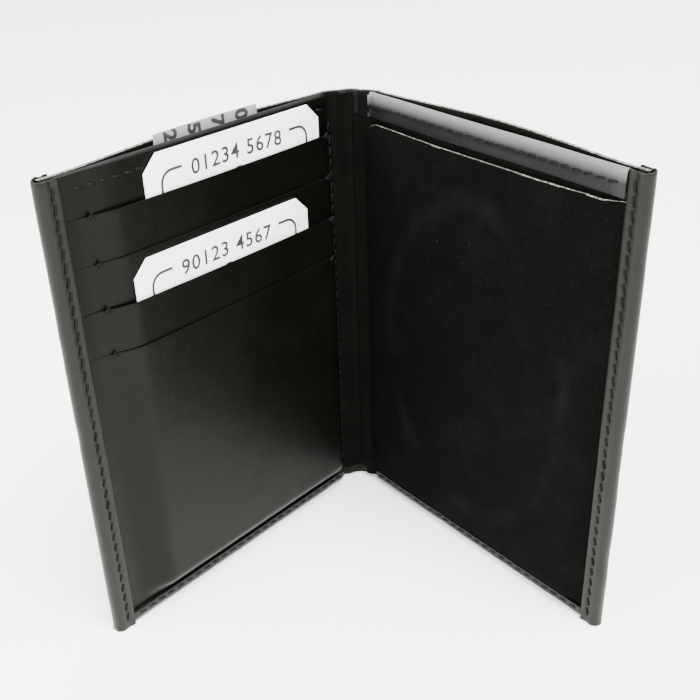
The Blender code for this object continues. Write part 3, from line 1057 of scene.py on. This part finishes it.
class WALLET_OT_liners(bpy.types.Operator):
    """Makes the liners behind the bills, the right one with its rolled hem"""

    bl_idname = "wallet.liners"
    bl_label = "Bill liners"

    def execute(self, context):
        sizes = context.scene.wallet_sizes
        low, high = reach("left_bill_liner", "left")
        liner = sheet(
            "left_liner", low, high,
            steps(low.x, high.x, sizes.grid),
            steps(low.y, high.y, sizes.grid),
        )
        shape(liner, press_stack)
        stand(liner, "left", "lining")
        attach(liner, "left_leaf")
        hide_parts("left_bill_liner")
        self.hemmed(context)
        return {"FINISHED"}

    def hemmed(self, context):
        """The right liner, turned over at its top into a thick hem."""
        sizes = context.scene.wallet_sizes
        low, high = reach("right_bill_liner", "right")
        skin = 0.42 * MM
        radius = (high.z - low.z - skin) / 2.0
        top = high.y - radius - skin / 2.0
        arc = math.pi * radius
        leg = 5.2 * MM
        long = top + arc + leg
        start = spine_middle() + 2.0 * MM
        liner = sheet(
            "right_liner",
            Vector((start, low.y, -skin / 2.0)),
            Vector((high.x + 0.5 * MM, long, skin / 2.0)),
            fold_cuts(start, high.x),
            steps(low.y, top - 6.0 * MM, sizes.grid) + steps(top - 6.0 * MM, top, 1.0 * MM)
            + [top] + steps(top, top + arc, 0.25 * MM) + [top + arc] + steps(top + arc, long, 0.6 * MM),
        )
        rear = low.z + skin / 2.0

        def turn_over(co):
            if co.y < top:
                return Vector((co.x, co.y, rear + co.z))
            if co.y < top + arc:
                angle = (co.y - top) / radius
                out = radius - co.z
                return Vector((co.x, top + out * math.sin(angle), rear + radius - out * math.cos(angle)))
            fallen = co.y - top - arc
            stitched = dip(fallen, top + radius + skin / 2.0 - LEAF_HEIGHT + 3.2 * MM, 0.6 * MM)
            pucker = 0.25 * MM * stitched * (0.5 + 0.5 * math.cos(2.0 * math.pi * co.x / sizes.stitch))
            return Vector((co.x, top - fallen, rear + 2.0 * radius - co.z - pucker))

        def wave(co):
            ends = ramp(co.x, low.x, 9.0 * MM) * ramp(co.x, high.x, high.x - 9.0 * MM)
            lifted = ramp(co.y, LEAF_HEIGHT - 14.0 * MM, LEAF_HEIGHT)
            sway = 0.35 * MM * lifted * ends * noise.noise(Vector((co.x * 45.0, 2.0, 4.0)))
            return co + Vector((0.0, 0.0, sway))

        shape(liner, turn_over, wave, round_fold)
        stand(liner, "right", "hem", 60.0)
        # Where it wraps the fold, the hem takes the dull black leather, so its painted highlight stops short
        # of the spine.
        second_finish(liner, "right", "dull", lambda facing, spot: spot.x < 1.2 * MM)
        bend_at_fold(liner)
        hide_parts("right_bill_liner")


class WALLET_OT_card_pockets(bpy.types.Operator):
    """Makes the card leaf: its backing, whose free edge reaches the spine, and four pockets"""

    bl_idname = "wallet.card_pockets"
    bl_label = "Card pockets"

    def execute(self, context):
        sizes = context.scene.wallet_sizes
        low, high = reach("card_backing", "left")
        start = spine_middle() - 0.9 * MM
        lip = high.y - 6.0 * MM
        backing = sheet(
            "card_leaf_backing",
            Vector((start, low.y, low.z)),
            high,
            fold_cuts(start, high.x),
            steps(low.y, lip, sizes.grid) + steps(lip, high.y, 0.7 * MM),
        )

        def top_seam(co):
            pull = dip(co.y, TOP_ROW, 0.6 * MM) * (0.5 + 0.5 * math.cos(2.0 * math.pi * co.x / sizes.stitch))
            return co - Vector((0.0, 0.0, 0.18 * MM * pull))

        shape(backing, top_seam, press_stack, round_fold)
        stand(backing, "left", "leather")
        second_finish(backing, "left", "dull", lambda facing, spot: spot.x < 2.0 * MM)
        bend_at_fold(backing)
        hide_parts("card_backing")
        for number in (1, 2, 3, 4):
            self.pocket(context, number)
        return {"FINISHED"}

    def pocket(self, context, number):
        sizes = context.scene.wallet_sizes
        low, high = reach(f"card_pocket_{number}", "left")
        start, end = 0.5 * MM, LEAF_WIDTH - 4.6 * MM
        fold_side, edge_side = 8.0 * MM, 62.0 * MM
        foot, lip = 10.0 * MM, high.y - 5.0 * MM
        pocket = sheet(
            f"pocket_{number}",
            Vector((start, low.y, low.z)),
            Vector((end, high.y, high.z)),
            steps(start, fold_side, 0.9 * MM) + steps(fold_side, edge_side, sizes.grid)
            + steps(edge_side, end, 1.0 * MM),
            steps(low.y, foot, 0.9 * MM) + steps(foot, lip, sizes.grid) + steps(lip, high.y, 0.7 * MM),
            rim=0.42,
        )

        def mouth(co):
            """The turned mouth is thicker, and eased off a little between the knots."""
            fold = ramp(co.y, high.y - 2.6 * MM, high.y - 1.9 * MM)
            slack = math.sin(math.pi * min(max((co.x - 5.0 * MM) / (68.0 * MM), 0.0), 1.0))
            at_lip = ramp(co.y, high.y - 7.0 * MM, high.y)
            face = 0.12 * MM * fold if co.z > (low.z + high.z) / 2.0 else 0.0
            return co + Vector((0.0, -0.25 * MM * slack * at_lip, face))

        shape(pocket, mouth, press_stack)
        stand(pocket, "left", "leather")
        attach(pocket, "left_leaf")
        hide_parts(f"card_pocket_{number}")


class WALLET_OT_inner_pocket(bpy.types.Operator):
    """Makes the plain pocket under the right leaf's hem"""

    bl_idname = "wallet.inner_pocket"
    bl_label = "Inner pocket"

    def execute(self, context):
        sizes = context.scene.wallet_sizes
        low, high = reach("right_inner_pocket", "right")
        start = spine_middle() + 0.5 * MM
        pocket = sheet(
            "right_inner_pocket_leather",
            Vector((start, low.y, low.z)),
            high,
            fold_cuts(start, high.x),
            steps(low.y, high.y, sizes.grid),
        )
        shape(pocket, press_bills, round_fold)
        stand(pocket, "right", "dull")
        bend_at_fold(pocket)
        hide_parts("right_inner_pocket")
        return {"FINISHED"}


class WALLET_OT_stitching(bpy.types.Operator):
    """Sews the rows of stitches and the knots at the pockets' mouths"""

    bl_idname = "wallet.stitching"
    bl_label = "Stitching"

    def execute(self, context):
        sizes = context.scene.wallet_sizes
        lift = sizes.thread * 0.22
        for side in ("left", "right"):
            low, high = reach(side + "_edge_binding", side)
            front, back = high.z + lift - 0.15 * MM, low.z - lift + 0.15 * MM
            ends = ((EDGE_ROW, 2.0 * MM), (EDGE_ROW, LEAF_HEIGHT - 1.6 * MM))
            rows = self.both_faces(ends, front, back)
            stitch_rows(side + "_edge_stitches", side, rows, side + "_edge_stitching")
            ends = ((2.0 * MM, FOOT_ROW), (LEAF_WIDTH - 6.0 * MM, FOOT_ROW))
            rows = self.both_faces(ends, front - 0.14 * MM, back + 0.14 * MM)
            if side == "left":
                rows += self.card_leaf_rows(sizes.stitch, lift - 0.1 * MM)
            stitch_rows(side + "_foot_stitches", side, rows, side + "_bottom_stitching")
        low, high = reach("right_hem_stitching", "right")
        hem = reach("right_bill_liner", "right")[1].z + lift - 0.12 * MM
        height = (low.y + high.y) / 2.0
        row = (Vector((0.8 * MM, height, hem)), Vector((high.x, height, hem)), (0, 0, 1))
        stitch_rows("right_hem_stitches", "right", [row], "right_hem_stitching")
        self.knots()
        return {"FINISHED"}

    def both_faces(self, ends, front, back):
        """The same row on the inner face and on the outer one."""
        start, end = ends
        return [
            (Vector((*start, front)), Vector((*end, front)), (0, 0, 1)),
            (Vector((*start, back)), Vector((*end, back)), (0, 0, -1)),
        ]

    def card_leaf_rows(self, stitch, lift):
        """The rows along the top and the spine side of the card leaf."""
        depth = reach("card_backing", "left")[1].z
        rows = []

        def sew(start, end):
            first, last = (press_stack(spot) + Vector((0, 0, lift)) for spot in (start, end))
            rows.append((first, last, (0, 0, 1)))

        spots = steps(0.0, LEAF_WIDTH - 5.0 * MM, stitch)
        for start, end in zip(spots, spots[1:]):
            sew(Vector((start, TOP_ROW, depth)), Vector((end, TOP_ROW, depth)))
        tops = [reach(f"card_pocket_{number}", "left")[1] for number in (1, 2, 3, 4)]
        spots = steps(5.0 * MM, LEAF_HEIGHT - 4.0 * MM, stitch)
        for start, end in zip(spots, spots[1:]):
            layer = max([depth] + [top.z for top in tops if (start + end) / 2.0 < top.y])
            sew(Vector((1.5 * MM, start, layer)), Vector((1.5 * MM, end, layer)))
        return rows

    def knots(self):
        """A knot at each end of each mouth, the inner ones further in on the lower pockets."""
        for number, inner in enumerate((3.4, 3.8, 4.6, 5.2), start=1):
            top = reach(f"card_pocket_{number}", "left")[1]
            for name, u in (("inner", inner * MM), ("outer", LEAF_WIDTH - 11.2 * MM)):
                spot = press_stack(Vector((u, top.y - 0.3 * MM, top.z)))
                bartack(f"bartack_{name}_{number}", "left", u, spot.y, spot.z + 0.1 * MM)


class WALLET_OT_cards(bpy.types.Operator):
    """Makes the two white cards with their printed border and number"""

    bl_idname = "wallet.cards"
    bl_label = "Cards"

    def execute(self, context):
        self.card(context, "card_1", "01234 5678")
        self.card(context, "card_2", "90123 4567")
        return {"FINISHED"}

    def card(self, context, name, number):
        sizes = context.scene.wallet_sizes
        low, high = reach(name, "left")
        middle = STACK_BACK + ((low.z + high.z) / 2.0 - STACK_BACK) * STACK_SHARE
        low.z = middle - sizes.card_thickness / 2.0
        high.z = middle + sizes.card_thickness / 2.0
        card = sheet(
            "printed_" + name, low, high, steps(low.x, high.x, 9.0 * MM), steps(low.y, high.y, 9.0 * MM),
            corners=[(x, y, sizes.card_cut, 1) for x in (low.x, high.x) for y in (high.y, low.y)],
            rim=0.3,
        )
        stand(card, "left", "card", 35.0)
        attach(card, name)
        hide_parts(name)
        face = high.z
        self.border(name, low, high, face)
        self.number(name, number, low, high, face)
        self.emblem(name, low, high, face)

    def ink(self, piece, name):
        """Prints a flat shape on a card."""
        stand(piece, "left", "ink", 35.0)
        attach(piece, name)

    def border(self, name, low, high, face):
        """A thin line round the card, open at the top where the number stands."""
        inset = 4.2 * MM
        line = 0.62 * MM
        piece = plane(name + "_border", low + Vector((inset, inset, 0)), high - Vector((inset, inset, 0)))
        edit_mesh()
        choose_all()
        bpy.ops.mesh.bevel(offset=3.2 * MM, segments=7, affect="VERTICES")
        frame_out(line)
        gap = (low.x + high.x) / 2.0
        opening = 16.6 * MM
        cut([gap - opening, gap + opening], 0)
        top = high.y - inset - 3.4 * MM
        choose(piece, "FACE", lambda ends: abs(sum(e.x for e in ends) / len(ends) - gap) < opening
               and sum(e.y for e in ends) / len(ends) > top)
        bpy.ops.mesh.delete(type="FACE")
        raise_up(PRINT)
        leave_mesh()
        lowest = min(vertex.co.z for vertex in piece.data.vertices)
        lift = face - PRINT * 0.3 - lowest
        shape(piece, lambda co: co + Vector((0.0, 0.0, lift)))
        lay_out(piece)
        self.ink(piece, name)

    def number(self, name, number, low, high, face):
        """A plain row of numerals, arched a little."""
        piece = numerals(name + "_numerals", number, 5.3 * MM, 0.07 * MM, 1.12)
        centre = (low.x + high.x) / 2.0

        def arch(co):
            """The leaf is seen from inside, so the row runs towards the fold."""
            droop = (co.x / (17.0 * MM)) ** 2 * 0.55 * MM
            return Vector((centre - co.x, high.y - 5.4 * MM + co.y * 0.95 - droop, face + 0.01 * MM + co.z))

        shape(piece, arch)
        lay_out(piece)
        self.ink(piece, name)

    def emblem(self, name, low, high, face):
        """A small ring in the middle of the card, down in the pocket."""
        centre = Vector(((low.x + high.x) / 2.0, high.y - 11.4 * MM, 0.0))
        deselect()
        bpy.ops.mesh.primitive_circle_add(vertices=32, radius=2.6 * MM, fill_type="NGON")
        piece = bpy.context.object
        piece.name = name + "_ring"
        edit_mesh()
        frame_out(0.6 * MM)
        raise_up(PRINT)
        leave_mesh()
        lowest = min(vertex.co.z for vertex in piece.data.vertices)
        shape(piece, lambda co: co + centre + Vector((0.0, 0.0, face - 0.02 * MM - lowest)))
        lay_out(piece)
        self.ink(piece, name)


class WALLET_OT_play_bill(bpy.types.Operator):
    """Makes the folded slip of play money in the left bill compartment"""

    bl_idname = "wallet.play_bill"
    bl_label = "Play bill"

    def execute(self, context):
        low, high = reach("play_bill", "left")
        skin = 0.16 * MM
        slip = sheet(
            "folded_play_bill",
            Vector((low.x, low.y, 0.0)),
            Vector((high.x, high.y + 0.6 * MM, skin)),
            steps(low.x, high.x, 1.6 * MM),
            steps(low.y, high.y, 3.0 * MM),
        )

        def lean(co):
            """The slip leans on the cover at its top."""
            height = co.y / LEAF_HEIGHT
            share = (co.x - low.x) / (high.x - low.x)
            belly = math.sin(math.pi * share)
            return co + Vector((0.0, 0.0, 0.75 * MM - (0.9 + 0.5 * belly) * MM * height ** 3))

        shape(slip, lean)
        stand(slip, "left", "bill", 40.0)
        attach(slip, "bill")
        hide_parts("play_bill")
        self.numerals(high, skin, lean)
        return {"FINISHED"}

    def numerals(self, high, skin, lean):
        """Bold numerals lying on their side along the slip's top edge."""
        for index, digit in enumerate("2570"):
            piece = numerals(f"play_bill_numeral_{index + 1}", digit, 5.0 * MM, 0.2 * MM, 1.0)
            middle = high.x - (4.6 + index * 7.0) * MM

            def lie(co):
                spot = Vector((middle - co.y, high.y - 0.75 * MM - co.x, skin + 0.02 * MM + co.z))
                return lean(spot)

            shape(piece, lie)
            lay_out(piece)
            stand(piece, "left", "ink", 35.0)
            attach(piece, "bill")


FLAP_SEAM = 1.62 * MM  # the suede's depth under the binding
FLAP_LIFT = 1.5 * MM  # how far it rises from there
FLAP_FACE = 2.52 * MM  # the smooth side's depth


class WALLET_OT_flap(bpy.types.Operator):
    """Makes the flap that folds in from the right edge: suede inside, smooth leather behind"""

    bl_idname = "wallet.flap"
    bl_label = "Flap"

    def execute(self, context):
        self.suede(context)
        self.face(context)
        return {"FINISHED"}

    def suede(self, context):
        sizes = context.scene.wallet_sizes
        low, high = reach("flap_suede", "right")
        tuck = LEAF_WIDTH - 3.6 * MM
        corner = sizes.flap_corner
        low.x -= 0.5 * MM
        high.y += 1.5 * MM
        suede = sheet(
            "flap_suede_side", low, Vector((tuck, high.y, high.z)),
            steps(low.x, 70.0 * MM, sizes.grid) + steps(70.0 * MM, tuck, 0.8 * MM),
            steps(low.y, high.y, sizes.grid),
            corners=((low.x, high.y, corner, 8), (low.x, low.y, corner, 8)),
            rim=0.3,
        )

        def tuck_in(co):
            """The outer edge runs down under the binding."""
            sink = ramp(co.x, LEAF_WIDTH - 10.0 * MM, LEAF_WIDTH - 5.0 * MM)
            thin = 0.7 - 0.3 * sink
            depth = FLAP_SEAM + (co.z - low.z) * thin + FLAP_LIFT * (1.0 - sink)
            sway = 0.3 * MM * (1.0 - sink) * noise.noise(Vector((co.x * 28.0, co.y * 28.0, 6.0)))
            ragged = 0.18 * MM * noise.noise(Vector((co.x * 420.0, co.y * 420.0, 2.0)))
            edge = ramp(co.y, high.y - 1.0 * MM, high.y)
            sag = 0.6 * MM * math.sin(math.pi * co.x / tuck) * ramp(co.y, 60.0 * MM, high.y)
            return Vector((co.x, co.y + ragged * edge - sag, depth + max(sway, -0.1 * MM)))

        shape(suede, tuck_in)
        stand(suede, "right", "suede", 40.0)
        rim = high.y - 4.0 * MM
        second_finish(suede, "right", "edge", lambda facing, spot: facing.z > 0.3 and spot.y > rim)
        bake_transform(suede)
        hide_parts("flap_suede")

    def face(self, context):
        """The smooth side, with the shield-shaped recess that marks the suede."""
        sizes = context.scene.wallet_sizes
        low, high = reach("flap_face", "right")
        high.x = min(high.x, LEAF_WIDTH - 10.4 * MM)
        corner = sizes.flap_corner
        leather = sheet(
            "flap_smooth_side", low, high, steps(low.x, high.x, 6.0 * MM), steps(low.y, high.y, 6.0 * MM),
            corners=((low.x, high.y, corner, 8), (low.x, low.y, corner, 8)),
            rim=0.3,
        )
        centre = (low + high) / 2.0
        depth = 0.45 * MM
        half = Vector((27.0 * MM, 40.0 * MM, 0.0))
        cutter = plane("recess_cutter", centre - half - Vector((0, 0, 1.0 * MM)), centre + half)
        edit_mesh()
        choose(cutter, "VERT", lambda co: co.y < centre.y)
        bpy.ops.mesh.bevel(offset=22.0 * MM, segments=10, affect="VERTICES")
        choose(cutter, "VERT", lambda co: co.y > centre.y + half.y * 0.9)
        bpy.ops.mesh.bevel(offset=8.0 * MM, segments=6, affect="VERTICES")
        raise_up(1.0 * MM)
        face_out()
        leave_mesh()
        top = max(vertex.co.z for vertex in cutter.data.vertices)
        shape(cutter, lambda co: co + Vector((0.0, 0.0, low.z + depth - top)))
        take(leather)
        hollow = leather.modifiers.new("recess", "BOOLEAN")
        hollow.operation = "DIFFERENCE"
        hollow.object = cutter
        bpy.ops.object.modifier_apply(modifier=hollow.name)
        bpy.data.objects.remove(cutter)
        lay_out(leather)
        shape(leather, lambda co: Vector((co.x, co.y, FLAP_FACE + (co.z - low.z) * 0.5)))
        stand(leather, "right", "leather", 35.0)
        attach(leather, "flap")
        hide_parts("flap_face")


class WALLET_OT_stage(bpy.types.Operator):
    """Sets the pale floor, the lights and the camera"""

    bl_idname = "wallet.stage"
    bl_label = "Stage"

    def execute(self, context):
        stage = context.scene.wallet_stage
        half = 4.0
        floor = plane("pale_floor", Vector((-half, -half, 0.0)), Vector((half, half, 0.0)))
        edit_mesh()
        bpy.ops.mesh.subdivide(number_cuts=3)
        leave_mesh()
        floor.data.materials.append(pale_floor())
        world = bpy.data.worlds.new("pale_room")
        world.use_nodes = True
        background = world.node_tree.nodes["Background"]
        background.inputs["Color"].default_value = (1.0, 1.0, 1.0, 1.0)
        background.inputs["Strength"].default_value = stage.sky
        context.scene.world = world
        self.light("key_light", (0.45, -0.55, 1.70), 1.3, stage.key)
        self.light("fill_light", (-0.55, -0.35, 0.45), 0.45, stage.fill)
        self.camera(context, stage)
        return {"FINISHED"}

    def light(self, name, spot, size, power):
        deselect()
        bpy.ops.object.light_add(type="AREA", location=spot)
        lamp = bpy.context.object
        lamp.name = name
        lamp.data.shape = "DISK"
        lamp.data.size = size
        lamp.data.energy = power
        aim = Vector((0.0, 0.0, 0.05)) - Vector(spot)
        lamp.rotation_euler = aim.to_track_quat("-Z", "Y").to_euler()

    def camera(self, context, stage):
        ahead = Vector((
            math.sin(stage.yaw) * math.cos(stage.pitch),
            math.cos(stage.yaw) * math.cos(stage.pitch),
            -math.sin(stage.pitch),
        ))
        right = Vector((math.cos(stage.yaw), -math.sin(stage.yaw), 0.0))
        up = right.cross(ahead)
        turned = right * math.cos(stage.roll) + up * math.sin(stage.roll)
        raised = up * math.cos(stage.roll) - right * math.sin(stage.roll)
        axes = Matrix((turned, raised, -ahead)).transposed().to_4x4()
        deselect()
        bpy.ops.object.camera_add()
        camera = bpy.context.object
        camera.name = "camera"
        camera.data.lens = stage.lens
        camera.data.shift_x = stage.shift_x
        camera.data.shift_y = stage.shift_y
        camera.data.clip_start = 0.01
        camera.matrix_world = Matrix.Translation(stage.camera) @ axes
        context.scene.camera = camera


# ---------------------------------------------------------------- sidebar

OPERATORS = (
    WALLET_OT_covers,
    WALLET_OT_spine_lining,
    WALLET_OT_bindings,
    WALLET_OT_liners,
    WALLET_OT_card_pockets,
    WALLET_OT_inner_pocket,
    WALLET_OT_stitching,
    WALLET_OT_cards,
    WALLET_OT_play_bill,
    WALLET_OT_flap,
    WALLET_OT_stage,
)


class WALLET_PT_sidebar(bpy.types.Panel):
    """Lists the wallet's pieces and their sizes and colours"""

    bl_idname = "WALLET_PT_sidebar"
    bl_label = "Trifold wallet"
    bl_space_type = "VIEW_3D"
    bl_region_type = "UI"
    bl_category = "Wallet"

    def draw(self, context):
        scene = context.scene
        for group in (scene.wallet_sizes, scene.wallet_colours, scene.wallet_stage):
            box = self.layout.box()
            for name in group.__annotations__:
                box.prop(group, name)
        for operator in OPERATORS:
            self.layout.operator(operator.bl_idname)


CLASSES = (WalletSizes, WalletColours, WalletStage) + OPERATORS + (WALLET_PT_sidebar,)


def register():
    for made in CLASSES:
        bpy.utils.register_class(made)
    bpy.types.Scene.wallet_sizes = PointerProperty(type=WalletSizes)
    bpy.types.Scene.wallet_colours = PointerProperty(type=WalletColours)
    bpy.types.Scene.wallet_stage = PointerProperty(type=WalletStage)


def unregister():
    del bpy.types.Scene.wallet_stage
    del bpy.types.Scene.wallet_colours
    del bpy.types.Scene.wallet_sizes
    for made in reversed(CLASSES):
        bpy.utils.unregister_class(made)


def main():
    """Makes the whole wallet and its stage."""
    register()
    for operator in OPERATORS:
        group, name = operator.bl_idname.split(".")
        getattr(getattr(bpy.ops, group), name)()
    deselect()


if __name__ == "__main__":
    main()
